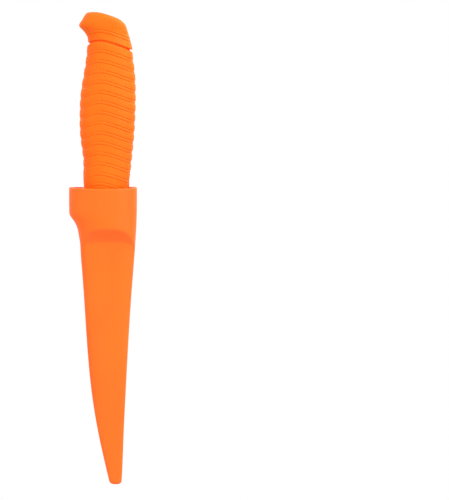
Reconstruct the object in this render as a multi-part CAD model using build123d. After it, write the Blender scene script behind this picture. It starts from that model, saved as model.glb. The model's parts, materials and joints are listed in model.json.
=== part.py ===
from build123d import *
import os
from math import copysign, cos, pi, radians, sin

# Garden knife in its belt sheath, in millimetres.
# +Z runs up the hanging knife, +Y points to the wearer's side, where the clip is, and +X points to the
# side of the knife's straight edge. The origin is the inside top of the clip's bend, where a belt's
# upper edge rests.

# ---------------------------------------------------------------- driving dimensions

# Knife placement: its own frame has the origin on its axis at the sheath's mouth, and leans a little.
KNIFE_TILT = 1.3
MOUTH_Y = -15.3
MOUTH_Z = -62.0

# Blade, in the knife's frame.
BLADE_LENGTH = 150.0
BLADE_THICKNESS = 2.6
BLADE_OFFSET = 0.55
DISH_RADIUS = 21.0
SPINE_ROOT_X = 12.8
SPINE_TIP_X = 4.6
BLADE_SOLID_HALF = 16.0
# Belly edge: (X, height above the tip).
BELLY_EDGE = ((SPINE_TIP_X, 0.0), (-3.6, 24.0), (-7.9, 50.0), (-11.4, 95.0), (-13.0, BLADE_LENGTH))
TANG_WIDTH = 13.0
TANG_TOP = 62.0
TANG_HOLE_RADIUS = 2.5
TANG_HOLE_HEIGHTS = (18.0, 42.0)
TOOTH_PITCH = 4.0
TOOTH_DEPTH = 1.6
TEETH_TOP = -34.0
TOOTH_COUNT = 18
TIP_GRIND_LENGTH = 50.0
TIP_GRIND_DEPTH = 1.4

# Handle: stations are (height, left, right, front, back) in the knife's frame.
HANDLE_STATIONS = (
    (-3.0, -14.4, 11.4, -9.9, 10.2),
    (3.0, -14.8, 12.7, -11.0, 11.0),
    (14.0, -14.9, 14.1, -11.4, 11.4),
    (28.0, -16.6, 15.5, -11.5, 11.7),
    (42.0, -17.1, 16.3, -11.3, 11.8),
    (54.0, -16.4, 16.5, -10.9, 11.4),
    (66.0, -14.5, 16.0, -10.2, 10.7),
    (78.0, -12.8, 14.5, -9.9, 10.4),
    (86.0, -12.2, 13.6, -9.8, 10.2),
)
HANDLE_SQUARENESS = 2.6
GRIP_WALL = 2.6
CORE_TOP = 78.0
GUARD_TOP = -1.5
GUARD_BOTTOM = -18.5
GUARD_STATIONS = (
    (GUARD_BOTTOM, -18.9, 14.0, -9.2, 10.0),
    (-15.0, -20.7, 14.8, -9.5, 10.2),
    (-8.0, -20.8, 14.9, -9.7, 10.4),
    (GUARD_TOP, -15.0, 11.6, -9.7, 10.0),
)

# Seam between the grip and the end cap: (X, drop from the crest) along the wave.
WAVE = ((-22.0, -6.4), (-10.5, -1.0), (-5.0, 0.0), (2.0, -1.3), (9.0, -3.7), (22.0, -8.6))
SEAM_CREST = 84.9
SEAM_WIDTH = 1.2

# End cap, in the knife's frame.
CAP_STATIONS = (
    (76.0, -13.0, 14.8, -9.9, 10.4),
    (86.0, -12.1, 13.6, -9.7, 10.2),
    (88.5, -12.6, 12.7, -9.6, 10.3),
    (91.0, -14.6, 12.0, -9.9, 10.6),
    (94.3, -17.3, 11.3, -10.4, 11.1),
    (97.5, -15.8, 10.8, -10.8, 11.4),
    (103.0, -13.6, 10.2, -10.6, 11.3),
)
# The cap's beak, crown and back in (X, Z).
CAP_CROWN = (
    (-14.2, 99.4),
    (-12.9, 101.8),
    (-7.4, 102.3),
    (1.4, 100.2),
    (8.2, 97.0),
    (11.2, 92.1),
    (13.9, 82.6),
)
CAP_PLUG_INSET = 2.6
SPIGOT_INSET = 6.0
SPIGOT_BOTTOM = 66.0
SPIGOT_CLEARANCE = 0.05

# Sheath: stations are (height, left, right, front, back) in the object's frame.
COLLAR_STATIONS = (
    (-61.0, -23.3, 17.2, -27.6, -1.9),
    (-77.0, -23.3, 17.2, -26.7, -2.5),
    (-100.0, -22.9, 16.9, -25.2, -3.3),
)
POCKET_STATIONS = (
    (-75.0, -17.6, 16.9, -20.9, -2.9),
    (-97.4, -16.8, 16.2, -19.8, -3.2),
    (-124.0, -14.9, 14.3, -18.3, -3.7),
    (-156.0, -12.8, 12.2, -16.9, -4.6),
    (-190.0, -9.5, 10.4, -15.4, -5.7),
    (-216.0, -5.0, 9.2, -14.2, -6.7),
    (-232.0, -1.4, 8.6, -13.5, -7.2),
)
TIP_STATIONS = (
    (-240.6, 0.9, 8.1, -13.1, -7.5),
    (-242.6, 2.5, 6.7, -12.0, -8.6),
)
SHEATH_SQUARENESS = 3.0
SHEATH_WALL = 1.6
CAVITY_BOTTOM = -238.0
RIM_DIP_RADIUS = 330.0
RIM_LOWEST = -64.9
RIM_CENTRE_X = -3.0
RIM_FRONT_Y = -27.0
RIM_SLOPE = 1.83
ABOVE_RIM = -50.0
COLLAR_BOTTOM = -99.0
# The collar's bulge for the finger guard in (X, Z), its front step and back pad in (Y, Z).
BELLY_BULGE = ((-23.3, -76.5), (-22.0, -82.0), (-18.8, -86.8), (-16.8, COLLAR_BOTTOM))
FRONT_STEP = ((-27.0, -84.0), (-24.9, -89.2), (-20.2, -96.2), (-19.4, COLLAR_BOTTOM))
FRONT_LEAN = 2.0
PAD = ((-7.0, -72.4), (-2.1, -72.4), (-2.3, -80.0), (-3.3, -87.0), (-7.0, -87.0))
PAD_LEFT = -15.3
PAD_RIGHT = 11.1

# Clip.
STRAP_WIDTH = 25.4
BEND_INSIDE_RADIUS = 1.75
BEND_OUTSIDE_RADIUS = 4.55
FLEX_GAP = 14.0
ARM_BOTTOM = -58.8
ARM_CORNER_RADIUS = 2.4
KEYHOLE_RADIUS = 4.45
KEYHOLE_Z = -11.0
SLOT_WIDTH = 6.7
NUB_INSIDE_X = 4.6
NUB_OUTSIDE_X = 11.9
# Side view of the clip in (Y, Z): the strap's faces, foot and keeper nub, then the arm's faces and tooth.
STRAP_BELT_FACE = ((-1.75, -1.75), (-1.2, -14.0), (-0.85, -28.0), (-0.7, -40.0), (-0.7, -58.0))
STRAP_KNIFE_FACE = ((-4.55, -1.75), (-4.0, -14.0), (-3.65, -28.0), (-3.5, -40.0), (-3.5, -58.0))
STRAP_FOOT = ((-1.1, -63.0), (-2.1, -72.4), (-5.0, -72.4), (-5.0, -66.0), (-3.5, -65.0))
NUB = ((-1.5, -45.5), (-0.7, -45.5), (1.3, -46.9), (1.4, -49.3), (-0.7, -50.7), (-1.5, -50.7))
ARM_BELT_FACE = ((1.75, -1.75), (1.5, -14.0), (1.45, -27.0), (1.75, -42.0), (1.75, -49.9))
ARM_OUTSIDE = ((4.55, -1.75), (4.15, -14.0), (4.15, -27.0), (4.7, -44.0), (4.75, -51.5), (3.4, ARM_BOTTOM))
HOOK_TOOTH = ((-0.35, -51.3), (-0.35, -52.5), (0.4, -54.2), (1.4, -55.6), (1.7, ARM_BOTTOM))

OVAL_POINTS = 16
FAR = 60.0


# ---------------------------------------------------------------- shared shapes

def oval(station, squareness, inset=0.0):
    """A flat closed section: an oval, squarer as squareness rises, at the station's height."""
    height, left, right, front, back = station
    half_x = (right - left) / 2 - inset
    half_y = (back - front) / 2 - inset
    points = []
    for step in range(OVAL_POINTS):
        angle = 2 * pi * step / OVAL_POINTS
        x = half_x * copysign(abs(cos(angle)) ** (2 / squareness), cos(angle))
        y = half_y * copysign(abs(sin(angle)) ** (2 / squareness), sin(angle))
        points.append((x + (left + right) / 2, y + (front + back) / 2))
    return Pos(0, 0, height) * make_face(Spline(points, periodic=True))


def lofted(stations, squareness, inset=0.0):
    """A smooth solid through a row of ovals."""
    return loft([oval(station, squareness, inset) for station in stations])


def prism_along_y(*edges):
    """The outline drawn in X and Z, made thick along Y."""
    return extrude(Plane.XZ * make_face(Curve() + list(edges)), FAR, both=True)


def prism_along_x(edges, low, high):
    """The outline drawn in Y and Z, made thick along X from low to high."""
    return Pos(low, 0, 0) * extrude(Plane.YZ * make_face(Curve() + list(edges)), high - low)


def slab(low, high):
    """Everything between two heights."""
    return Pos(0, 0, (low + high) / 2) * Box(2 * FAR, 2 * FAR, high - low)


def in_place(solid):
    """Puts a solid from the knife's frame into the sheath."""
    return Location((0, MOUTH_Y, MOUTH_Z), (KNIFE_TILT, 0, 0)) * solid


# ---------------------------------------------------------------- knife

def spine_x(height):
    """The straight edge's distance from the axis, from the guard to the tip."""
    t = (GUARD_BOTTOM - height) / BLADE_LENGTH
    fall = SPINE_ROOT_X - SPINE_TIP_X
    return SPINE_ROOT_X - fall * (0.6 * t + 0.4 * t * t)


def make_blade():
    tip = GUARD_BOTTOM - BLADE_LENGTH
    heights = [tip + BLADE_LENGTH * share for share in (0, 0.25, 0.5, 0.75, 1)]
    spine = Spline(*[(spine_x(height), height) for height in heights])
    belly = Spline(*[(x, tip + rise) for x, rise in BELLY_EDGE])
    shoulder = Line(belly @ 1, spine @ 1)
    outline = prism_along_y(spine, belly, shoulder)
    tang_height = TANG_TOP - GUARD_BOTTOM + 1
    outline += Pos(0, 0, GUARD_BOTTOM - 1 + tang_height / 2) * Box(TANG_WIDTH, 2 * FAR, tang_height)

    centre = Pos(0, BLADE_OFFSET + DISH_RADIUS, (TANG_TOP + tip) / 2)
    height = TANG_TOP - tip + 2
    outside = Cylinder(DISH_RADIUS + BLADE_THICKNESS / 2, height)
    inside = Cylinder(DISH_RADIUS - BLADE_THICKNESS / 2, height)
    blade = outline & (centre * (outside - inside)) & Box(FAR, 2 * BLADE_SOLID_HALF, 6 * FAR)

    for hole_height in TANG_HOLE_HEIGHTS:
        blade -= Pos(0, 0, hole_height) * Rot(90, 0, 0) * Cylinder(TANG_HOLE_RADIUS, 20)
    for tooth in range(TOOTH_COUNT):
        top = TEETH_TOP - tooth * TOOTH_PITCH
        bottom = top - TOOTH_PITCH
        crest = (spine_x(top), top)
        root = (spine_x(bottom) - TOOTH_DEPTH, bottom)
        blade -= prism_along_y(Polyline(crest, (FAR, top), (FAR, bottom), root, close=True))

    front = BLADE_OFFSET - BLADE_THICKNESS / 2
    grind = Polyline(
        (front, tip + TIP_GRIND_LENGTH),
        (front + TIP_GRIND_DEPTH, tip - 1),
        (front - 5, tip - 1),
        (front - 5, tip + TIP_GRIND_LENGTH),
        close=True,
    )
    return blade - prism_along_x([grind], -FAR, FAR)


def above_wave(crest):
    """Everything above the wavy line whose crest is at the given height."""
    line = Spline(*[(x, crest + z) for x, z in WAVE])
    return prism_along_y(line, Polyline(line @ 1, (22.0, 2 * FAR), (-22.0, 2 * FAR), line @ 0))


def make_end_cap():
    crown = lofted(CAP_STATIONS, HANDLE_SQUARENESS) & above_wave(SEAM_CREST + SEAM_WIDTH / 2)
    top = Spline(*CAP_CROWN)
    crown &= prism_along_y(top, Polyline(top @ 1, (15.5, 70.0), (-18.0, 70.0), (-18.0, 95.0), top @ 0))
    plug = lofted(HANDLE_STATIONS, HANDLE_SQUARENESS, CAP_PLUG_INSET)
    plug &= slab(CORE_TOP, SEAM_CREST + SEAM_WIDTH)
    spigot = lofted(HANDLE_STATIONS, HANDLE_SQUARENESS, SPIGOT_INSET) & slab(SPIGOT_BOTTOM, CORE_TOP)
    return crown + plug + spigot


def make_grip_and_core(blade):
    skin = lofted(HANDLE_STATIONS, HANDLE_SQUARENESS)
    inside = lofted(HANDLE_STATIONS, HANDLE_SQUARENESS, GRIP_WALL)
    core = (inside & slab(GUARD_TOP - 1, CORE_TOP)) + lofted(GUARD_STATIONS, HANDLE_SQUARENESS)
    socket = lofted(HANDLE_STATIONS, HANDLE_SQUARENESS, SPIGOT_INSET - SPIGOT_CLEARANCE)
    core -= socket & slab(SPIGOT_BOTTOM - SPIGOT_CLEARANCE, CORE_TOP + 1)
    core -= blade

    grip = (skin & slab(GUARD_TOP, 2 * FAR)) - above_wave(SEAM_CREST - SEAM_WIDTH / 2) - inside
    return grip, core


# ---------------------------------------------------------------- sheath

def belly_limit(inset):
    """Side limit of the collar, with the bulge that makes room for the finger guard."""
    start, *slope, end = BELLY_BULGE
    points = [(start[0] + inset, start[1])]
    points += [(x + inset, z + inset) for x, z in slope]
    points += [(end[0] + inset, end[1])]
    curve = Spline(*points)
    side = Line((start[0] + inset, ABOVE_RIM), curve @ 0)
    return prism_along_y(side, curve, Polyline(curve @ 1, (FAR, COLLAR_BOTTOM), (FAR, ABOVE_RIM), side @ 0))


def front_limit(inset):
    """Front limit of the collar, with the step down to the pocket."""
    curve = Spline(*[(y + inset, z) for y, z in FRONT_STEP])
    side = Line((FRONT_STEP[0][0] - FRONT_LEAN + inset, ABOVE_RIM), curve @ 0)
    edges = [side, curve, Polyline(curve @ 1, (FAR, COLLAR_BOTTOM), (FAR, ABOVE_RIM), side @ 0)]
    return prism_along_x(edges, -FAR, FAR)


def make_sheath_filled():
    """The sheath's outside, with no hollow."""
    collar = lofted(COLLAR_STATIONS, SHEATH_SQUARENESS) & belly_limit(0) & front_limit(0)
    pocket = lofted(POCKET_STATIONS, SHEATH_SQUARENESS)
    tip = lofted(POCKET_STATIONS[-1:] + TIP_STATIONS, SHEATH_SQUARENESS)
    pad = prism_along_x([Polyline(*PAD, close=True)], PAD_LEFT, PAD_RIGHT)
    return collar + pocket + tip + pad


def make_cavity():
    """The hollow: a wide mouth for the guard, then a long pocket for the blade."""
    mouth = lofted(COLLAR_STATIONS, SHEATH_SQUARENESS, SHEATH_WALL)
    mouth &= belly_limit(SHEATH_WALL) & front_limit(SHEATH_WALL)
    pocket = lofted(POCKET_STATIONS + TIP_STATIONS[:1], SHEATH_SQUARENESS, SHEATH_WALL)
    return mouth + (pocket & slab(CAVITY_BOTTOM, 0))


def make_rim_cut():
    """A wide shallow scoop that gives the mouth its dipped, sloping rim."""
    scoop = Rot(RIM_SLOPE - 90, 0, 0) * Cylinder(RIM_DIP_RADIUS, 2 * FAR)
    return Pos(RIM_CENTRE_X, RIM_FRONT_Y, RIM_LOWEST + RIM_DIP_RADIUS) * scoop


# ---------------------------------------------------------------- clip

def bend_point(radius, degrees):
    """A point of the bend, as (Y, Z); 0 degrees is the arm's side and 180 the strap's."""
    return (radius * cos(radians(degrees)), radius * sin(radians(degrees)) - BEND_INSIDE_RADIUS)


def bend_arc(radius, start, end):
    middle = bend_point(radius, (start + end) / 2)
    return ThreePointArc(bend_point(radius, start), middle, bend_point(radius, end))


def make_strap(sheath_filled):
    """The flat strap from the collar's back up to the bend, with its two keeper nubs."""
    gap_side = 90 + FLEX_GAP / 2
    belt_face = Spline(*STRAP_BELT_FACE)
    knife_face = Spline(*STRAP_KNIFE_FACE)
    inner = bend_arc(BEND_INSIDE_RADIUS, gap_side, 180)
    outer = bend_arc(BEND_OUTSIDE_RADIUS, gap_side, 180)
    foot = Polyline(belt_face @ 1, *STRAP_FOOT, knife_face @ 1)
    edges = [belt_face, knife_face, inner, outer, foot, Line(inner @ 0, outer @ 0)]
    strap = prism_along_x(edges, -STRAP_WIDTH / 2, STRAP_WIDTH / 2) - sheath_filled
    nub = Polyline(*NUB, close=True)
    strap += prism_along_x([nub], NUB_INSIDE_X, NUB_OUTSIDE_X)
    strap += prism_along_x([nub], -NUB_OUTSIDE_X, -NUB_INSIDE_X)
    return strap


def make_arm():
    """The sprung outer arm: forked by a keyhole slot, with a hook tooth along each tine."""
    gap_side = 90 - FLEX_GAP / 2
    inner = bend_arc(BEND_INSIDE_RADIUS, gap_side, 0)
    outer = bend_arc(BEND_OUTSIDE_RADIUS, gap_side, 0)
    belt_face = Spline(*ARM_BELT_FACE)
    tooth = Polyline(belt_face @ 1, *HOOK_TOOTH)
    outside = Spline(*ARM_OUTSIDE)
    edges = [inner, outer, belt_face, tooth, outside]
    edges += [Line(inner @ 0, outer @ 0), Line(tooth @ 1, outside @ 1)]
    arm = prism_along_x(edges, -STRAP_WIDTH / 2, STRAP_WIDTH / 2)

    height = 10.0 - ARM_BOTTOM
    plan = Pos(0, ARM_BOTTOM + height / 2) * Rectangle(STRAP_WIDTH, height)
    plan -= Pos(0, KEYHOLE_Z) * Circle(KEYHOLE_RADIUS)
    plan -= Pos(0, (ARM_BOTTOM - 5 + KEYHOLE_Z) / 2) * Rectangle(SLOT_WIDTH, KEYHOLE_Z - ARM_BOTTOM + 5)
    ends = plan.vertices().filter_by_position(Axis.Y, ARM_BOTTOM - 0.01, ARM_BOTTOM + 0.01)
    plan = fillet(ends, ARM_CORNER_RADIUS)
    return arm & extrude(Plane.XZ * plan, FAR, both=True)


# ---------------------------------------------------------------- assembly

def main():
    blade = make_blade()
    grip, core = make_grip_and_core(blade)
    sheath_filled = make_sheath_filled()
    nodes = {
        "blade": in_place(blade),
        "handle_core": in_place(core),
        "grip_sleeve": in_place(grip),
        "end_cap": in_place(make_end_cap()),
        "sheath_shell": sheath_filled - make_cavity() - make_rim_cut(),
        "clip_strap": make_strap(sheath_filled),
        "clip_arm": make_arm(),
    }
    os.makedirs("parts", exist_ok=True)
    for name, solid in nodes.items():
        export_step(solid, f"parts/{name}.step")
        print(name, round(solid.volume / 1000, 2), "cm3", len(solid.solids()), "solids")


main()
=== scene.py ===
import json
import math

import bmesh
import bpy
import numpy as np
from mathutils import Matrix, Vector


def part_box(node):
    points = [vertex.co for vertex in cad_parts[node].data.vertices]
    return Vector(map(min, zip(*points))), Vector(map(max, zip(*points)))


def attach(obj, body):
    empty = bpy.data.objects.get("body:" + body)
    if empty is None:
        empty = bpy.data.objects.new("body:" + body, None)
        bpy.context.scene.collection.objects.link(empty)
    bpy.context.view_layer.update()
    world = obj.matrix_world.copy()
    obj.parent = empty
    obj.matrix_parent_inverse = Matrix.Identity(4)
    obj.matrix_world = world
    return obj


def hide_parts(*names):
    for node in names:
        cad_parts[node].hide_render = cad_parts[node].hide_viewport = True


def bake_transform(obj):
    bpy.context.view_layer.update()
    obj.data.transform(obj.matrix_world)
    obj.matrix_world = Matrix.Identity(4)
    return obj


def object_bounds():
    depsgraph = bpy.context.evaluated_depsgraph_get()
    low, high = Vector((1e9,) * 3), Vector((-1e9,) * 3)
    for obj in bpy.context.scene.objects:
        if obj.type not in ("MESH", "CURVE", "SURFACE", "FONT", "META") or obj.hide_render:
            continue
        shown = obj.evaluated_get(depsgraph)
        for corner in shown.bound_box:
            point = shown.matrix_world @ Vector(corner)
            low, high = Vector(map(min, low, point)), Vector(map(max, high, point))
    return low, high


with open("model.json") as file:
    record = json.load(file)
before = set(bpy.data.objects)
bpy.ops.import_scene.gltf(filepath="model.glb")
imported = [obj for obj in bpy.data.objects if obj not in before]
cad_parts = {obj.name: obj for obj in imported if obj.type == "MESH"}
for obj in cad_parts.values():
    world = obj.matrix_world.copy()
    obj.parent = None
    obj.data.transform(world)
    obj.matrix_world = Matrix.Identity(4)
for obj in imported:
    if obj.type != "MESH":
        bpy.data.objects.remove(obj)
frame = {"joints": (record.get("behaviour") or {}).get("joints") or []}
cad_low, cad_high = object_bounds()

# Shapes are worked out in millimetres and become metres in the meshes.
MM = 0.001
JOINTS = {joint["name"]: joint for joint in frame["joints"]}


# ---------------------------------------------------------------- curves and fields

def smooth_through(knots, values):
    """A natural cubic spline through the values at the knots, as a function; straight past its ends."""
    order = np.argsort(knots)
    x, y = np.array(knots, float)[order], np.array(values, float)[order]
    step, rise = np.diff(x), np.diff(y) / np.diff(x)
    count = len(x)
    system, target = np.eye(count), np.zeros(count)
    for i in range(1, count - 1):
        system[i, i - 1:i + 2] = step[i - 1], 2 * (step[i - 1] + step[i]), step[i]
        target[i] = 6 * (rise[i] - rise[i - 1])
    bend = np.linalg.solve(system, target)

    def at(position):
        position = np.asarray(position, float)
        i = np.clip(np.searchsorted(x, position) - 1, 0, count - 2)
        slope = rise[i] - step[i] * (2 * bend[i] + bend[i + 1]) / 6
        t = position - x[i]
        inside = y[i] + t * (slope + t * (bend[i] / 2 + t * (bend[i + 1] - bend[i]) / (6 * step[i])))
        first = rise[0] - step[0] * bend[1] / 6
        last = rise[-1] + step[-1] * bend[-2] / 6
        inside = np.where(position < x[0], y[0] + (position - x[0]) * first, inside)
        return np.where(position > x[-1], y[-1] + (position - x[-1]) * last, inside)

    return at


def smooth_columns(stations):
    """One spline for each column after the first, which is the height."""
    columns = list(zip(*stations))
    return [smooth_through(columns[0], column) for column in columns[1:]]


def ramp(value, low, high):
    """0 below low, 1 above high, and smooth between them."""
    t = np.clip((np.asarray(value, float) - low) / (high - low), 0, 1)
    return t * t * (3 - 2 * t)


def smooth_max(a, b, radius):
    h = np.clip(0.5 + 0.5 * (a - b) / radius, 0, 1)
    return b + (a - b) * h + radius * h * (1 - h)


def smooth_min(a, b, radius):
    return -smooth_max(-a, -b, radius)


def oval(angles, left, right, front, back, squareness, inset=0.0):
    """Points of an oval given by its four extremes, pulled in by inset."""
    c, s = np.cos(angles), np.sin(angles)
    x = ((right - left) / 2 - inset) * np.sign(c) * np.abs(c) ** (2 / squareness)
    y = ((back - front) / 2 - inset) * np.sign(s) * np.abs(s) ** (2 / squareness)
    return x + (left + right) / 2, y + (front + back) / 2


def oval_field(x, y, left, right, front, back, squareness):
    """Roughly the distance outside an oval; negative inside."""
    half_x, half_y = (right - left) / 2, (back - front) / 2
    u = np.abs((x - (left + right) / 2) / half_x)
    v = np.abs((y - (front + back) / 2) / half_y)
    return ((u ** squareness + v ** squareness) ** (1 / squareness) - 1) * np.minimum(half_x, half_y)


# ---------------------------------------------------------------- meshes

def new_object(name, vertices, faces, sharp_degrees=38.0):
    """An object from points in millimetres, smooth except across edges sharper than the angle."""
    mesh = bpy.data.meshes.new(name)
    mesh.from_pydata([tuple(v) for v in np.asarray(vertices, float) * MM], [], faces)
    mesh.update()
    finish_mesh(mesh, sharp_degrees)
    piece = bpy.data.objects.new(name, mesh)
    bpy.context.scene.collection.objects.link(piece)
    return piece


def finish_mesh(mesh, sharp_degrees):
    bm = bmesh.new()
    bm.from_mesh(mesh)
    bmesh.ops.recalc_face_normals(bm, faces=bm.faces)
    bm.to_mesh(mesh)
    bm.free()
    mesh.shade_smooth()
    mesh.set_sharp_from_angle(angle=math.radians(sharp_degrees))


def rings_to_faces(ring_count, around, capped=True):
    """Quads between neighbouring rings, with a flat face on each end."""
    faces = []
    for ring in range(ring_count - 1):
        low, high = ring * around, (ring + 1) * around
        for i in range(around):
            j = (i + 1) % around
            faces.append((low + i, low + j, high + j, high + i))
    if capped:
        faces.append(tuple(range(around - 1, -1, -1)))
        faces.append(tuple(range((ring_count - 1) * around, ring_count * around)))
    return faces


def ring_object(name, rings, capped=True, sharp_degrees=38.0):
    rings = np.asarray(rings, float)
    faces = rings_to_faces(len(rings), rings.shape[1], capped)
    return new_object(name, rings.reshape(-1, 3), faces, sharp_degrees)


def bevelled(piece, width, segments=3, angle=40.0):
    """Rounds the piece's sharp edges for good."""
    modifier = piece.modifiers.new("rounding", "BEVEL")
    modifier.width = width * MM
    modifier.segments = segments
    modifier.limit_method = "ANGLE"
    modifier.angle_limit = math.radians(angle)
    apply_modifiers(piece)
    return piece


def merge_close_points(piece, distance):
    """Joins points nearer than the distance, which rounding leaves where two roundings meet."""
    bm = bmesh.new()
    bm.from_mesh(piece.data)
    bmesh.ops.remove_doubles(bm, verts=bm.verts, dist=distance * MM)
    bmesh.ops.dissolve_degenerate(bm, edges=bm.edges, dist=distance * MM)
    bm.to_mesh(piece.data)
    bm.free()


def cut(piece, tool):
    """Takes the tool's space out of the piece and deletes the tool."""
    modifier = piece.modifiers.new("cut", "BOOLEAN")
    modifier.operation = "DIFFERENCE"
    modifier.solver = "EXACT"
    modifier.object = tool
    apply_modifiers(piece)
    bpy.data.objects.remove(tool)
    return piece


def apply_modifiers(piece):
    depsgraph = bpy.context.evaluated_depsgraph_get()
    mesh = bpy.data.meshes.new_from_object(piece.evaluated_get(depsgraph))
    piece.modifiers.clear()
    piece.data = mesh


# ---------------------------------------------------------------- materials

def node_material(name):
    material = bpy.data.materials.new(name)
    material.use_nodes = True
    nodes = material.node_tree.nodes
    return material, nodes, material.node_tree.links, nodes["Principled BSDF"]


def noise(nodes, links, coordinates, scale, detail=3.0, stretch=(1, 1, 1)):
    mapping = nodes.new("ShaderNodeMapping")
    mapping.inputs["Scale"].default_value = stretch
    links.new(coordinates, mapping.inputs["Vector"])
    texture = nodes.new("ShaderNodeTexNoise")
    texture.inputs["Scale"].default_value = scale
    texture.inputs["Detail"].default_value = detail
    links.new(mapping.outputs["Vector"], texture.inputs["Vector"])
    return texture.outputs["Fac"]


def remap(nodes, links, value, low, high, to_low, to_high):
    node = nodes.new("ShaderNodeMapRange")
    node.inputs["From Min"].default_value = low
    node.inputs["From Max"].default_value = high
    node.inputs["To Min"].default_value = to_low
    node.inputs["To Max"].default_value = to_high
    links.new(value, node.inputs["Value"])
    return node.outputs["Result"]


def mix_colours(nodes, links, factor, first, second):
    node = nodes.new("ShaderNodeMix")
    node.data_type = "RGBA"
    links.new(factor, node.inputs["Factor"])
    for socket, colour in ((node.inputs[6], first), (node.inputs[7], second)):
        if isinstance(colour, tuple):
            socket.default_value = (*colour, 1.0)
        else:
            links.new(colour, socket)
    return node.outputs[2]


def bump(nodes, links, height, strength, distance_mm, under=None):
    node = nodes.new("ShaderNodeBump")
    node.inputs["Strength"].default_value = strength
    node.inputs["Distance"].default_value = distance_mm * MM
    links.new(height, node.inputs["Height"])
    if under is not None:
        links.new(under, node.inputs["Normal"])
    return node.outputs["Normal"]


def moulded_plastic(name, colour, worn, roughness, grain, gloss, glow):
    """Orange moulded plastic: faint flow marks, paler rubbed edges, fine grain and uneven gloss."""
    material, nodes, links, shader = node_material(name)
    place = nodes.new("ShaderNodeTexCoord").outputs["Object"]
    flow = noise(nodes, links, place, 38.0, 4.0, (1.0, 1.0, 0.35))
    specks = noise(nodes, links, place, 900.0, 2.0)
    fine = noise(nodes, links, place, 2600.0, 2.0)
    rub = noise(nodes, links, place, 160.0, 5.0)

    deeper = tuple(channel * share for channel, share in zip(colour, (0.96, 0.86, 0.8)))
    body = mix_colours(nodes, links, remap(nodes, links, flow, 0.35, 0.68, 0.0, 1.0), deeper, colour)
    edges = nodes.new("ShaderNodeNewGeometry").outputs["Pointiness"]
    edge = remap(nodes, links, edges, 0.515, 0.56, 0.0, 0.55)
    patchy = nodes.new("ShaderNodeMath")
    patchy.operation = "MULTIPLY"
    links.new(edge, patchy.inputs[0])
    links.new(remap(nodes, links, rub, 0.38, 0.62, 0.25, 1.0), patchy.inputs[1])
    links.new(mix_colours(nodes, links, patchy.outputs["Value"], body, worn), shader.inputs["Base Color"])

    uneven = remap(nodes, links, rub, 0.3, 0.7, roughness - 0.05, roughness + 0.07)
    links.new(uneven, shader.inputs["Roughness"])
    surface = bump(nodes, links, specks, grain, 0.05)
    links.new(bump(nodes, links, fine, grain * 0.8, 0.02, surface), shader.inputs["Normal"])
    shader.inputs["Specular IOR Level"].default_value = gloss
    shader.inputs["Subsurface Weight"].default_value = glow
    shader.inputs["Subsurface Radius"].default_value = (1.0, 0.35, 0.12)
    shader.inputs["Subsurface Scale"].default_value = 0.0012
    return material


def ground_steel(name):
    """Satin stainless steel with fine grinding lines across the blade."""
    material, nodes, links, shader = node_material(name)
    place = nodes.new("ShaderNodeTexCoord").outputs["Object"]
    lines = noise(nodes, links, place, 260.0, 6.0, (1.0, 1.0, 14.0))
    blotches = noise(nodes, links, place, 45.0, 4.0)
    streaks = remap(nodes, links, lines, 0.3, 0.7, 0, 1)
    tint = mix_colours(nodes, links, streaks, (0.4, 0.41, 0.43), (0.66, 0.67, 0.69))
    links.new(tint, shader.inputs["Base Color"])
    shader.inputs["Metallic"].default_value = 1.0
    links.new(remap(nodes, links, blotches, 0.3, 0.7, 0.24, 0.38), shader.inputs["Roughness"])
    links.new(bump(nodes, links, lines, 0.25, 0.02), shader.inputs["Normal"])
    return material


def dress(piece, material):
    piece.data.materials.clear()
    piece.data.materials.append(material)
    return piece


# ---------------------------------------------------------------- knife

# The knife's own frame: on the drawing joint's axis, with the origin at the sheath's mouth.
draw = JOINTS["knife_draw"]
axis = Vector(draw["axis"]).normalized()
lean = Vector((0, 0, 1)).rotation_difference(axis).to_matrix().to_4x4()
KNIFE_FRAME = Matrix.Translation(Vector(draw["pos_m"])) @ lean

# The handle's outside: (height, left, right, front, back).
HANDLE = (
    (-3.0, -14.4, 11.4, -9.9, 11.0),
    (3.0, -14.8, 12.7, -11.0, 11.4),
    (14.0, -14.9, 14.1, -11.4, 11.65),
    (28.0, -16.6, 15.5, -11.5, 11.95),
    (42.0, -17.0, 16.3, -11.3, 12.0),
    (54.0, -16.4, 16.5, -10.9, 11.6),
    (66.0, -14.5, 16.0, -10.2, 10.7),
    (78.0, -12.8, 14.5, -9.9, 10.4),
    (86.0, -12.2, 13.6, -9.8, 10.2),
)
HANDLE_SIDES = smooth_columns(HANDLE)
SQUARENESS = 2.5
GRIP_WALL = 2.6
GRIP_BOTTOM = -3.0
GRIP_AROUND = 176

# Every rib line is the same wave across the handle: X, and height from its crest.
WAVE = smooth_through(
    (-22.0, -14.0, -10.5, -5.0, 2.0, 9.0, 15.0, 22.0),
    (-5.6, -2.6, -1.0, 0.0, -1.3, -3.7, -5.9, -8.4))
SEAM_CREST = 84.9
SEAM_WIDTH = 1.2
TOP_GROOVE = 78.9
RIB_PITCH = 6.05
GROOVE_COUNT = 16
GROOVE_DEPTH = 0.52
# One groove's section, two thin creases with a nearly flat strip between them:
# (height from the groove's middle, share of its depth).
GROOVE = (
    (-1.25, 0.0), (-1.12, 0.1), (-1.03, 0.6), (-0.93, 1.0), (-0.83, 0.92),
    (-0.72, 0.4), (-0.6, 0.24), (0.0, 0.18), (0.6, 0.22), (0.72, 0.36),
    (0.82, 0.66), (0.92, 0.72), (1.02, 0.4), (1.12, 0.08), (1.25, 0.0))
# Plain rings between one groove and the next.
RIB_LEVELS = (1.5, 1.8, 2.3, 3.0, 3.7, 4.2, 4.5, 4.7)
RIB_CROWN = 0.1
RIB_CROWN_AT_SIDES = 0.34


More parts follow.
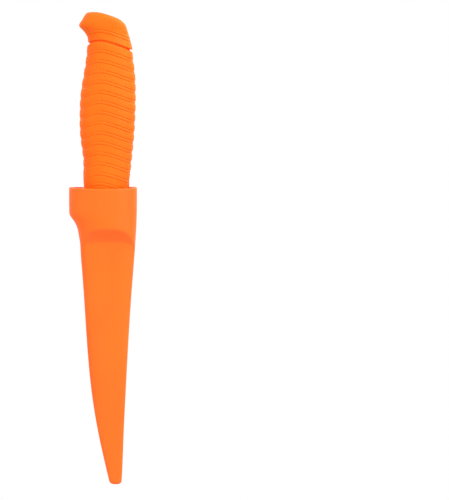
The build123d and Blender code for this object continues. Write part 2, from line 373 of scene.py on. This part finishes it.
def handle_ring(angles, crest, inset=0.0):
    """One wavy ring of the handle's outer shape, as points in the knife's frame."""
    height = np.full_like(angles, crest)
    for _ in range(4):
        sides = [side(height) for side in HANDLE_SIDES]
        x, y = oval(angles, *sides, SQUARENESS, inset)
        height = crest + WAVE(x)
    return np.stack([x, y, height], axis=-1)


def groove_strength(points, rise):
    """Grooves are full on the spine side, softer on the belly side, and gone near the guard there.

    The crease above a groove's middle fades first towards the belly.
    """
    x, height = points[:, 0], points[:, 2]
    across = 0.15 + 0.35 * ramp(x, -17.5, -13.0) + 0.5 * ramp(x, -14.0, -1.0) - 0.6 * ramp(x, 12.0, 15.5)
    if rise > 0.3:
        across *= 0.35 + 0.65 * ramp(x, -10.0, 2.0)
    low = ramp(height, 6.0, 16.0)
    return across * (low + (1 - low) * ramp(x, -12.5, -10.0))


def make_grip():
    """The ribbed sleeve: grooved outside, rounded top edge and plain inside, cut off level below."""
    angles = np.linspace(0, 2 * math.pi, GRIP_AROUND, endpoint=False)
    levels = []
    for groove in range(GROOVE_COUNT - 1, -1, -1):
        middle = TOP_GROOVE - groove * RIB_PITCH
        levels += [(middle + rise, share, rise) for rise, share in GROOVE]
        levels += [(middle + rise, 0.0, rise) for rise in RIB_LEVELS]
    top = SEAM_CREST - SEAM_WIDTH / 2
    levels = [level for level in levels if level[0] < top - 0.9]
    rings = []
    for level, share, rise in levels:
        ring = handle_ring(angles, level)
        crown = RIB_CROWN + (RIB_CROWN_AT_SIDES - RIB_CROWN) * ramp(np.abs(ring[:, 0]), 9.0, 14.0)
        crown *= math.cos(math.pi * (level - TOP_GROOVE) / RIB_PITCH) ** 4
        depth = share * GROOVE_DEPTH * groove_strength(ring, rise) + crown * ramp(ring[:, 2], 4.0, 12.0)
        rings.append(handle_ring(angles, level, depth))
    for drop, inset in ((0.8, 0.0), (0.45, 0.06), (0.18, 0.22), (0.04, 0.45), (0.0, 0.8)):
        rings.append(handle_ring(angles, top - drop, inset))
    for drop in (0.0, 20.0, 50.0, 90.0):
        rings.append(handle_ring(angles, top - drop, GRIP_WALL))
    grip = ring_object("grip_ribbed", rings, capped=False, sharp_degrees=50)

    bm = bmesh.new()
    bm.from_mesh(grip.data)
    geometry = bm.verts[:] + bm.edges[:] + bm.faces[:]
    bottom = (0, 0, GRIP_BOTTOM * MM)
    bmesh.ops.bisect_plane(bm, geom=geometry, plane_co=bottom, plane_no=(0, 0, 1), clear_inner=True)
    bmesh.ops.bridge_loops(bm, edges=[edge for edge in bm.edges if edge.is_boundary])
    bm.to_mesh(grip.data)
    bm.free()
    finish_mesh(grip.data, 50)
    return grip


CORE_TOP = 78.0
GUARD_BOTTOM = -18.5
GUARD = (
    (GUARD_BOTTOM, -18.9, 14.0, -9.2, 10.0),
    (-15.0, -20.7, 14.8, -9.5, 10.2),
    (-8.0, -20.8, 14.9, -9.7, 10.4),
    (-1.5, -15.0, 11.6, -9.7, 10.0),
)


def make_core():
    """The rigid core: finger guard below, and the plain stem inside the grip."""
    angles = np.linspace(0, 2 * math.pi, 128, endpoint=False)
    sides = smooth_columns(GUARD)
    rings = []
    for rise, inset in ((0.0, 2.0), (0.0, 1.2), (0.12, 0.6), (0.45, 0.2), (0.9, 0.05)):
        level = GUARD_BOTTOM + rise
        rings.append((level, [side(level) for side in sides], inset))
    for level in np.arange(GUARD_BOTTOM + 1.5, -2.0, 0.75):
        rings.append((level, [side(level) for side in sides], 0.0))
    for level in (-1.6, 0.0, 10.0, 28.0, 42.0, 54.0, 66.0, CORE_TOP):
        rings.append((level, [side(level) for side in HANDLE_SIDES], GRIP_WALL + 0.02))
    points = []
    for level, limits, inset in rings:
        x, y = oval(angles, *limits, SQUARENESS, inset)
        points.append(np.stack([x, y, np.full_like(x, level)], axis=-1))
    return ring_object("handle_core_guard", points)


# End cap: (height, left, right, front, back).
CAP_SIDES = smooth_columns((
    (78.0, -12.0, 15.1, -9.9, 10.4),
    (82.6, -11.8, 14.0, -9.9, 10.3),
    (84.6, -11.9, 13.55, -9.75, 10.15),
    (86.8, -12.2, 12.9, -9.65, 10.15),
    (89.2, -13.3, 12.1, -9.8, 10.4),
    (90.6, -14.3, 11.7, -10.0, 10.7),
    (92.0, -15.6, 11.25, -10.3, 11.0),
    (93.2, -16.8, 10.95, -10.6, 11.2),
    (94.4, -17.3, 10.6, -10.75, 11.3),
    (96.4, -16.3, 9.9, -10.85, 11.35),
    (98.8, -14.8, 9.2, -10.6, 11.2),
    (101.2, -13.6, 8.6, -10.2, 10.8),
    (103.0, -12.8, 8.2, -9.9, 10.5),
))
# The crown's line, which the upper rings follow instead of the wave: X, and height from its crest.
CROWN = smooth_through(
    (-16.0, -13.0, -7.4, -3.5, 1.4, 5.3, 9.0),
    (-0.9, -0.35, 0.0, -0.6, -2.1, -3.5, -5.2))
CROWN_CREST = 102.0
CROWN_ROUNDING = 2.7
CAP_GROOVE = 90.6
CAP_NECK_INSET = 1.3
# How much squarer the head's section is than the grip's.
BEAK_FLATNESS = 0.9


def cap_ring(angles, crest, inset=0.0, tuck=0.0):
    """One ring of the cap: a wave near the seam, turning into the crown's line.

    The tuck pulls the ring in to round the crown's edge.
    """
    height = np.full_like(angles, crest)
    crownward = float(ramp(crest, CAP_GROOVE + 1.0, CROWN_CREST - CROWN_ROUNDING))
    for _ in range(6):
        left, right, front, back = (side(height) for side in CAP_SIDES)
        squareness = SQUARENESS + BEAK_FLATNESS * crownward
        left, right = left + 0.35 * tuck, right - 1.1 * tuck
        x, y = oval(angles, left, right, front + tuck, back - tuck, squareness, inset)
        height = crest + (1 - crownward) * WAVE(x) + crownward * CROWN(x)
    return np.stack([x, y, height], axis=-1)


def make_end_cap():
    """The beaked cap: spigot, plug and neck below the seam, flared head above it."""
    angles = np.linspace(0, 2 * math.pi, GRIP_AROUND, endpoint=False)
    rings = []
    for level, inset in ((66.0, 6.0), (72.0, 6.0), (CORE_TOP, 6.0), (CORE_TOP, GRIP_WALL + 0.05)):
        x, y = oval(angles, *[side(level) for side in HANDLE_SIDES], SQUARENESS, inset)
        rings.append(np.stack([x, y, np.full_like(x, level)], axis=-1))
    bottom = SEAM_CREST + SEAM_WIDTH / 2
    rings.append(handle_ring(angles, SEAM_CREST - SEAM_WIDTH / 2 + 0.02, GRIP_WALL + 0.05))
    rings.append(handle_ring(angles, SEAM_CREST - SEAM_WIDTH / 2 + 0.02, CAP_NECK_INSET))
    rings.append(handle_ring(angles, bottom, CAP_NECK_INSET))
    for rise, inset in ((0.0, 0.75), (0.04, 0.4), (0.14, 0.16), (0.3, 0.03), (0.5, 0.0)):
        rings.append(cap_ring(angles, bottom + rise, inset))
    levels = [(level, 0.0) for level in np.arange(bottom + 1.0, CAP_GROOVE - 1.2, 0.5)]
    levels += [(CAP_GROOVE + rise, share) for rise, share in GROOVE]
    levels += [(level, 0.0) for level in np.arange(CAP_GROOVE + 1.5, CROWN_CREST - CROWN_ROUNDING, 0.35)]
    for level, share in levels:
        ring = cap_ring(angles, level)
        depth = share * GROOVE_DEPTH * groove_strength(ring, level - CAP_GROOVE)
        rings.append(cap_ring(angles, level, depth))
    for turn in np.linspace(0, math.pi / 2, 10):
        level = CROWN_CREST - CROWN_ROUNDING * (1 - math.sin(turn))
        rings.append(cap_ring(angles, level, tuck=CROWN_ROUNDING * (1 - math.cos(turn))))
    rim = rings[-1]
    centre = rim.mean(axis=0)
    for share in (0.85, 0.65, 0.45, 0.25, 0.06):
        inner = centre + (rim - centre) * share
        inner[:, 2] = CROWN_CREST + CROWN(inner[:, 0])
        rings.append(inner)
    return ring_object("end_cap_beaked", rings, sharp_degrees=50)


# Blade. It is dished: its middle lies nearest the front, and both its sides curve back.
BLADE_TIP = GUARD_BOTTOM - 150.0
BLADE_THICKNESS = 2.6
BLADE_OFFSET = 0.55
DISH_RADIUS = 21.0
TANG_TOP = 62.0
TANG_HALF = 6.5
TOOTH_PITCH = 4.0
TOOTH_DEPTH = 1.6
TEETH_TOP = -34.0
TOOTH_COUNT = 18


def spine_x(height):
    t = (GUARD_BOTTOM - height) / (GUARD_BOTTOM - BLADE_TIP)
    return 12.8 - 8.2 * (0.6 * t + 0.4 * t * t)


belly_x = smooth_through(
    (BLADE_TIP, BLADE_TIP + 24, BLADE_TIP + 50, BLADE_TIP + 95, GUARD_BOTTOM),
    (4.6, -3.6, -7.9, -11.4, -13.0))


def make_blade():
    """The dished blade and its tang, ground to an edge on the belly side and toothed on the spine side."""
    rows = list(np.arange(BLADE_TIP + 0.4, TEETH_TOP - TOOTH_COUNT * TOOTH_PITCH, 1.0))
    for tooth in range(TOOTH_COUNT, 0, -1):
        bottom = TEETH_TOP - tooth * TOOTH_PITCH
        rows += [bottom + 0.01, bottom + 1.0, bottom + 2.0, bottom + 3.0, bottom + 3.98]
    rows += list(np.arange(TEETH_TOP + 0.2, GUARD_BOTTOM - 0.1, 1.0))
    rows += [GUARD_BOTTOM, GUARD_BOTTOM + 0.02, 0.0, 30.0, TANG_TOP]
    shares = (0.0, 0.02, 0.1, 0.2, 0.27, 0.35, 0.5, 0.65, 0.8, 0.9, 0.97, 1.0)
    loops = []
    for level in rows:
        if level > GUARD_BOTTOM + 0.01:
            left, right, edge = -TANG_HALF, TANG_HALF, 1.0
        else:
            left, right, edge = float(belly_x(level)), float(spine_x(level)), 0.06
            down = (TEETH_TOP - level) / TOOTH_PITCH
            if 0 < down < TOOTH_COUNT:
                right -= TOOTH_DEPTH * (down - math.floor(down))
        near_tip = ramp(level, BLADE_TIP - 2, BLADE_TIP + 30)
        thick = BLADE_THICKNESS * (0.4 + 0.6 * near_tip)
        x = left + (right - left) * np.array(shares)
        middle = BLADE_OFFSET + 0.35 * (1 - near_tip) + DISH_RADIUS - np.sqrt(DISH_RADIUS ** 2 - x ** 2)
        bevel = np.interp(np.array(shares), (0, 0.27, 1), (edge, 1, 1)) * thick / 2
        tooth_bevel = np.interp(np.array(shares), (0, 0.9, 1), (1, 1, 0.45 if edge < 1 else 1))
        back = np.stack([x, middle + thick / 2, np.full_like(x, level)], axis=-1)
        front = np.stack([x, middle + thick / 2 - 2 * bevel * tooth_bevel, np.full_like(x, level)], axis=-1)
        loops.append(np.concatenate([front, back[::-1]]))
    return ring_object("blade_ground", loops, sharp_degrees=18)


# ---------------------------------------------------------------- sheath

# The collar's and the pocket's outsides: (Z, left, right, front, back).
COLLAR = (
    (-61.0, -23.3, 17.2, -27.4, -1.95),
    (-77.0, -23.3, 17.2, -26.6, -2.5),
    (-86.8, -23.0, 16.9, -26.0, -2.95),
    (-96.4, -22.9, 16.3, -25.4, -3.2),
    (-103.6, -22.9, 15.8, -25.0, -3.4),
)
POCKET = (
    (-75.0, -17.6, 16.9, -20.9, -2.9),
    (-97.4, -16.8, 16.2, -19.8, -3.2),
    (-124.0, -14.9, 14.3, -18.3, -3.7),
    (-156.0, -12.8, 12.2, -16.9, -4.6),
    (-190.0, -9.5, 10.4, -15.4, -5.7),
    (-216.0, -5.0, 9.2, -14.2, -6.7),
    (-232.0, -1.4, 8.6, -13.5, -7.2),
    (-243.0, 1.2, 8.0, -12.9, -7.6),
)
COLLAR_SIDES = smooth_columns(COLLAR)
POCKET_SIDES = smooth_columns(POCKET)
# The step at the collar's front and the bulge at its side, as limits that change with height.
STEP_Y = smooth_through(
    (-103.0, -97.4, -94.0, -91.6, -89.8, -87.0, -83.0),
    (-16.0, -19.3, -21.5, -23.4, -25.0, -27.2, -30.5))
BELLY_X = smooth_through(
    (-100.0, -93.0, -89.8, -86.8, -83.8, -82.3, -80.8, -78.0, -76.0),
    (-16.2, -17.5, -18.1, -19.0, -20.7, -21.8, -22.9, -24.6, -25.8))
PAD_Y = smooth_through((-90.0, -87.0, -80.0, -72.4), (-4.4, -3.2, -2.35, -2.1))
PAD_TOP = -72.4
PAD_LEFT, PAD_RIGHT = -15.3, 11.1
PAD_FRONT_Y = -12.0
COLLAR_SQUARENESS = 2.45
POCKET_SQUARENESS = 4.6
SHEATH_WALL = 1.6
SHEATH_AROUND = 208
CAVITY_BOTTOM = -238.0
TIP_ROUNDING = 2.1
# How widely the sheath's surfaces run into each other.
BELLY_BLEND, STEP_BLEND, POCKET_BLEND = 0.9, 0.6, 0.15
PAD_SIDE_BLEND, PAD_END_BLEND, PAD_BLEND = 1.6, 0.5, 1.4
# The rim at the mouth, dipped in the middle of the front and rising towards the clip.
RIM_LEVEL = -64.0
RIM_LOWEST = -64.95
RIM_CENTRE_X = -3.0
RIM_FRONT_Y = -27.0
RIM_DIP_RADIUS = 330.0
RIM_SLOPE = 0.032


def sheath_field(x, y, z):
    """Roughly the distance outside the sheath's outer skin.

    It grows too slowly at the belly and spine sides, so an inset there is deeper than it says.
    """
    left, right, front, back = (side(z) for side in COLLAR_SIDES)
    left = smooth_max(left, BELLY_X(z), BELLY_BLEND)
    collar = oval_field(x, y, left, right, front, back, COLLAR_SQUARENESS)
    collar = smooth_max(collar, (STEP_Y(z) - y) * 0.8, STEP_BLEND)
    pocket = oval_field(x, y, *[side(z) for side in POCKET_SIDES], POCKET_SQUARENESS)
    skin = smooth_min(collar, pocket, POCKET_BLEND)
    beside = np.abs(x - (PAD_LEFT + PAD_RIGHT) / 2) - (PAD_RIGHT - PAD_LEFT) / 2
    pad = smooth_max(beside, y - PAD_Y(z), PAD_SIDE_BLEND)
    pad = smooth_max(pad, z - PAD_TOP, PAD_END_BLEND)
    pad = smooth_max(pad, PAD_FRONT_Y - y, PAD_END_BLEND)
    return smooth_min(skin, pad, PAD_BLEND)


def rim_height(x, y):
    dip = (x - RIM_CENTRE_X) ** 2 / (2 * RIM_DIP_RADIUS)
    return RIM_LOWEST + dip + (y - RIM_FRONT_Y) * RIM_SLOPE


def sheath_ring(angles, level, inset):
    """The ring of the sheath's skin at a level, pulled in by inset; near the mouth it follows the rim."""
    reach = np.stack([np.cos(angles) * 1.0, np.sin(angles) * 0.72], axis=-1)
    reach /= np.linalg.norm(reach, axis=1)[:, None]
    pocket = [side(level) for side in POCKET_SIDES]
    centre = np.array([(pocket[0] + pocket[1]) / 2, (pocket[2] + pocket[3]) / 2])
    z = np.full_like(angles, level)
    for _ in range(3):
        near, far = np.zeros_like(angles), np.full_like(angles, 40.0)
        for _ in range(30):
            middle = (near + far) / 2
            x, y = centre[0] + reach[:, 0] * middle, centre[1] + reach[:, 1] * middle
            inside = sheath_field(x, y, z) < -inset
            near, far = np.where(inside, middle, near), np.where(inside, far, middle)
        follow = (1 - ramp(RIM_LEVEL - level, 0.0, 14.0))
        z = level + (rim_height(x, y) - RIM_LEVEL) * follow
    return np.stack([x, y, z], axis=-1)


def make_sheath():
    """Inner wall, rolled rim, outer wall and rounded tip, in one closed skin."""
    angles = np.linspace(0, 2 * math.pi, SHEATH_AROUND, endpoint=False)
    wall = SHEATH_WALL
    below, above = RIM_LEVEL - 40, RIM_LEVEL - 38
    rings = [sheath_ring(angles, level, wall) for level in np.linspace(CAVITY_BOTTOM, below, 30)]
    rings += [sheath_ring(angles, level, wall) for level in np.linspace(above, RIM_LEVEL - 0.6, 40)]
    lip = ((0.25, 1.52), (0.06, 1.3), (0.0, 1.05), (0.0, 0.55), (0.06, 0.3), (0.25, 0.08), (0.6, 0.0))
    rings += [sheath_ring(angles, RIM_LEVEL - drop, inset) for drop, inset in lip]
    rings += [sheath_ring(angles, RIM_LEVEL - drop, 0.0) for drop in np.arange(1.0, 40.0, 0.45)]
    tip = cad_low.z / MM
    rings += [sheath_ring(angles, level, 0.0) for level in np.arange(RIM_LEVEL - 41, tip + 2.6, -1.6)]
    for turn in np.linspace(0.0, math.pi / 2, 9):
        level = tip + TIP_ROUNDING - TIP_ROUNDING * math.sin(turn)
        rings.append(sheath_ring(angles, level, TIP_ROUNDING * (1 - math.cos(turn))))
    return ring_object("sheath_moulding", rings, sharp_degrees=45)


# ---------------------------------------------------------------- clip

flex = JOINTS["clip_flex"]
BEND_CENTRE = Vector(flex["pos_m"]) / MM
strap_low, strap_high = (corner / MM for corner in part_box("clip_strap"))
STRAP_HALF = (strap_high.x - strap_low.x) / 2
BEND_INSIDE, BEND_OUTSIDE = 1.75, 4.52
# The strap's faces, from its foot up: (Z, handle side Y, belt side Y).
STRAP_FACES = smooth_columns((
    (-72.4, -3.2, -2.15),
    (-66.0, -3.35, -1.4),
    (-62.0, -3.55, -0.95),
    (-58.0, -3.65, -0.72),
    (-40.0, -3.75, -0.7),
    (-28.0, -3.95, -0.85),
    (-14.0, -4.25, -1.2),
    (-1.75, -4.52, -1.75),
))
# The arm's faces, from its end up: (Z, belt side Y, outside Y).
ARM_FACES = smooth_columns((
    (-59.0, 1.45, 3.7),
    (-56.8, 1.6, 4.3),
    (-53.0, 1.75, 4.68),
    (-44.0, 1.75, 4.68),
    (-27.0, 1.45, 4.15),
    (-14.0, 1.5, 4.15),
    (-1.75, 1.75, 4.52),
))
FOOT_Z, ARM_END_Z = -72.4, -59.0
BEND_LENGTH = math.pi * (BEND_INSIDE + BEND_OUTSIDE) / 2
KEYHOLE_RADIUS = 4.45
KEYHOLE_Z = -11.0
SLOT_HALF = 3.35
CORNER_RADIUS = 2.4
BAND_HALF_THICKNESS = 1.4


def band_point(along, across, through):
    """Bends a flat band: along runs from the foot over the bend to the arm's end.

    Through runs from -1, the inside of the bend, to 1, its outside.
    """
    rise = BEND_CENTRE.z - FOOT_Z
    if along <= rise:
        z = FOOT_Z + along
        handle_side, belt_side = (float(face(z)) for face in STRAP_FACES)
        y = (handle_side + belt_side) / 2 - through * (belt_side - handle_side) / 2
        return (across, y, z)
    if along >= rise + BEND_LENGTH:
        z = BEND_CENTRE.z - (along - rise - BEND_LENGTH)
        belt_side, outside = (float(face(z)) for face in ARM_FACES)
        return (across, (belt_side + outside) / 2 + through * (outside - belt_side) / 2, z)
    turn = math.pi * (along - rise) / BEND_LENGTH
    radius = (BEND_INSIDE + BEND_OUTSIDE) / 2 + through * (BEND_OUTSIDE - BEND_INSIDE) / 2
    return (across, -radius * math.cos(turn), BEND_CENTRE.z + radius * math.sin(turn))


def prism_object(name, outline, low, high, flat_axis):
    """A prism from an outline in the two other axes, between two positions on flat_axis."""
    count = len(outline)
    points = []
    for position in (low, high):
        for u, v in outline:
            points.append((position, u, v) if flat_axis == "X" else (u, v, position))
    faces = [tuple(range(count - 1, -1, -1)), tuple(range(count, 2 * count))]
    faces += [(i, (i + 1) % count, count + (i + 1) % count, count + i) for i in range(count)]
    return new_object(name, points, faces)


def make_band():
    """Strap, bend and forked arm as one strip: cut flat, rounded, then bent into place."""
    rise = BEND_CENTRE.z - FOOT_Z
    length = rise + BEND_LENGTH + (BEND_CENTRE.z - ARM_END_Z)
    stops = list(np.arange(0, rise, 2.4)) + list(np.linspace(rise, rise + BEND_LENGTH, 21))
    stops += list(np.arange(rise + BEND_LENGTH + 2.0, length - 1, 2.2)) + [length]
    widths = np.linspace(-STRAP_HALF, STRAP_HALF, 9)
    rings = []
    for stop in stops:
        top = [(x, stop, BAND_HALF_THICKNESS) for x in widths]
        bottom = [(x, stop, -BAND_HALF_THICKNESS) for x in widths[::-1]]
        rings.append(top + bottom)
    band = ring_object("clip_band", rings)

    head = rise + BEND_LENGTH + (BEND_CENTRE.z - KEYHOLE_Z)
    opening = math.asin(SLOT_HALF / KEYHOLE_RADIUS)
    sweep = np.linspace(math.pi / 2 + opening, math.pi * 5 / 2 - opening, 57)
    keyhole = [(KEYHOLE_RADIUS * math.cos(a), head + KEYHOLE_RADIUS * math.sin(a)) for a in sweep]
    flare = [
        (SLOT_HALF, length - 2.2),
        (SLOT_HALF + 0.5, length - 1.0),
        (SLOT_HALF + 1.6, length - 0.2),
        (SLOT_HALF + 2.6, length + 2),
    ]
    keyhole += flare + [(-x, y) for x, y in reversed(flare)]
    cut(band, prism_object("keyhole_tool", keyhole, -5, 5, "Z"))
    for side in (-1, 1):
        beyond, centre_x, centre_y = STRAP_HALF + 2, STRAP_HALF - CORNER_RADIUS, length - CORNER_RADIUS
        corner = [(side * beyond, length + 2), (side * beyond, centre_y)]
        for turn in np.linspace(0, math.pi / 2, 7):
            x = centre_x + CORNER_RADIUS * math.cos(turn)
            corner.append((side * x, centre_y + CORNER_RADIUS * math.sin(turn)))
        corner.append((side * centre_x, length + 2))
        cut(band, prism_object("corner_tool", corner, -5, 5, "Z"))
    bevelled(band, 0.55, 3)
    bm = bmesh.new()
    bm.from_mesh(band.data)
    for vertex in bm.verts:
        x, along, through = vertex.co / MM
        vertex.co = Vector(band_point(along, x, through / BAND_HALF_THICKNESS)) * MM
    bm.to_mesh(band.data)
    bm.free()
    finish_mesh(band.data, 35)
    return band


# Outlines of a keeper nub and a hook tooth, seen from the side: (Y, Z).
NUB = (
    (-1.6, -45.3), (-0.7, -45.5), (1.15, -46.8), (1.4, -47.4),
    (1.4, -49.0), (1.2, -49.4), (-0.7, -50.7), (-1.6, -50.9))
TOOTH = (
    (2.6, -49.3), (1.75, -49.9), (-0.2, -51.2), (-0.35, -51.5), (-0.35, -52.3),
    (0.0, -53.4), (0.6, -54.5), (1.15, -55.2), (1.2, -58.4), (2.6, -58.6))


def pair(name, outline, inside, outside, rounding):
    """The same bevelled block under each tine."""
    left = prism_object(name, outline, -outside, -inside, "X")
    right = prism_object(name + "_right", outline, inside, outside, "X")
    bm = bmesh.new()
    bm.from_mesh(left.data)
    bm.from_mesh(right.data)
    bm.to_mesh(left.data)
    bm.free()
    bpy.data.objects.remove(right)
    bevelled(left, rounding, 3, 25)
    merge_close_points(left, 0.02)
    finish_mesh(left.data, 45)
    return left


# ---------------------------------------------------------------- pieces on their bodies

ORANGE = (0.98, 0.138, 0.004)
ORANGE_GRIP = (0.98, 0.143, 0.001)
WORN = (0.99, 0.19, 0.025)
sheath_plastic = moulded_plastic("sheath_plastic", ORANGE, WORN, 0.42, 0.12, 0.36, 0.1)
grip_plastic = moulded_plastic("grip_plastic", ORANGE_GRIP, WORN, 0.56, 0.1, 0.22, 0.08)
steel = ground_steel("blade_steel")


def place_knife_piece(piece, node, material):
    piece.data.transform(KNIFE_FRAME)
    dress(piece, material)
    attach(piece, "knife")
    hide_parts(node)


place_knife_piece(make_grip(), "grip_sleeve", grip_plastic)
place_knife_piece(make_core(), "handle_core", sheath_plastic)
place_knife_piece(make_end_cap(), "end_cap", grip_plastic)
place_knife_piece(make_blade(), "blade", steel)

sheath = dress(make_sheath(), sheath_plastic)
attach(sheath, "sheath")
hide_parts("sheath_shell")

band = dress(make_band(), sheath_plastic)
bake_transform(band)
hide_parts("clip_strap", "clip_arm")
nubs = dress(pair("keeper_nubs", NUB, 4.6, 11.9, 0.35), sheath_plastic)
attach(nubs, "sheath")
teeth = pair("hook_teeth", TOOTH, SLOT_HALF + 0.5, STRAP_HALF - 0.5, 0.3)
dress(teeth, sheath_plastic)
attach(teeth, "clip_arm")


# ---------------------------------------------------------------- stage, light and camera

FLOOR_HALF_SIZE = 0.7
FLOOR_DROP = 0.3


def make_floor():
    """A pale paper floor, some way below the hanging knife."""
    half = FLOOR_HALF_SIZE
    corners = [(-half, -half, 0), (half, -half, 0), (half, half, 0), (-half, half, 0)]
    floor = new_object("floor", np.array(corners) / MM, [(0, 1, 2, 3)])
    floor.location.z = cad_low.z - FLOOR_DROP
    material, _, _, shader = node_material("floor_paper")
    shader.inputs["Base Color"].default_value = (0.42, 0.42, 0.42, 1)
    shader.inputs["Roughness"].default_value = 0.9
    floor.data.materials.append(material)


def area_light(name, place, target, size, power, glossy):
    """A rectangular lamp aimed at the target, which shows in reflections only if it is glossy."""
    light = bpy.data.lights.new(name, "AREA")
    light.shape = "RECTANGLE"
    light.size, light.size_y = size
    light.energy = power
    lamp = bpy.data.objects.new(name, light)
    lamp.visible_glossy = glossy
    lamp.location = place
    lamp.rotation_euler = (Vector(target) - Vector(place)).to_track_quat("-Z", "Y").to_euler()
    bpy.context.scene.collection.objects.link(lamp)


# The white light all round the knife: strength from straight below, and from straight above.
FILL_STRENGTHS = (0.25, 1.9)
KEY_PLACE = (0.95, -0.95, 0.6)
KEY_SIZE = (0.45, 0.9)


def make_lights():
    """A key on the spine side and a fill on the belly side, in front and behind, in a white room."""
    middle = (cad_low + cad_high) / 2
    area_light("key", KEY_PLACE, middle, KEY_SIZE, 10.0, False)
    area_light("key_sheen", KEY_PLACE, middle, KEY_SIZE, 9.0, True)
    area_light("front_left", (-0.9, -1.2, 0.3), middle, (0.7, 1.0), 6.0, False)
    area_light("back_key", (0.95, 0.95, 0.6), middle, (0.45, 0.9), 19.0, False)
    area_light("back_fill", (-0.9, 1.2, 0.3), middle, (0.7, 1.0), 5.0, False)
    world = bpy.data.worlds.new("studio")
    world.use_nodes = True
    nodes, links = world.node_tree.nodes, world.node_tree.links
    seen = nodes["Background"]
    seen.inputs["Color"].default_value = (1, 1, 1, 1)
    fill = nodes.new("ShaderNodeBackground")
    parts = nodes.new("ShaderNodeSeparateXYZ")
    links.new(nodes.new("ShaderNodeTexCoord").outputs["Generated"], parts.inputs["Vector"])
    links.new(remap(nodes, links, parts.outputs["Z"], -1.0, 1.0, *FILL_STRENGTHS), fill.inputs["Strength"])
    choice = nodes.new("ShaderNodeMixShader")
    links.new(nodes.new("ShaderNodeLightPath").outputs["Is Camera Ray"], choice.inputs["Fac"])
    links.new(fill.outputs["Background"], choice.inputs[1])
    links.new(seen.outputs["Background"], choice.inputs[2])
    links.new(choice.outputs["Shader"], nodes["World Output"].inputs["Surface"])
    bpy.context.scene.world = world


# The height of the view at the knife. The knife stands left of the view's middle.
FRAME_HEIGHT = 0.2995
LENS, SENSOR = 180.0, 36.0
KNIFE_LEFT_OF_CENTRE = 0.0697
FRAME_CENTRE_Z = -0.1016
ELEVATION = math.radians(2.0)
FARTHEST_SEEN = 30.0


def make_camera():
    camera_data = bpy.data.cameras.new("camera")
    camera_data.lens = LENS
    camera_data.sensor_width = SENSOR
    camera = bpy.data.objects.new("camera", camera_data)
    distance = FRAME_HEIGHT * LENS / SENSOR
    middle_y = (cad_low.y + cad_high.y) / 2
    aim = Vector((0, middle_y, FRAME_CENTRE_Z))
    back = Vector((0, -math.cos(ELEVATION), math.sin(ELEVATION)))
    camera.location = aim + back * distance
    camera.rotation_euler = (-back).to_track_quat("-Z", "Y").to_euler()
    camera_data.shift_x = KNIFE_LEFT_OF_CENTRE / FRAME_HEIGHT
    camera_data.clip_end = FARTHEST_SEEN
    bpy.context.scene.collection.objects.link(camera)
    bpy.context.scene.camera = camera


make_floor()
make_lights()
make_camera()
bpy.context.scene.view_settings.view_transform = "Standard"
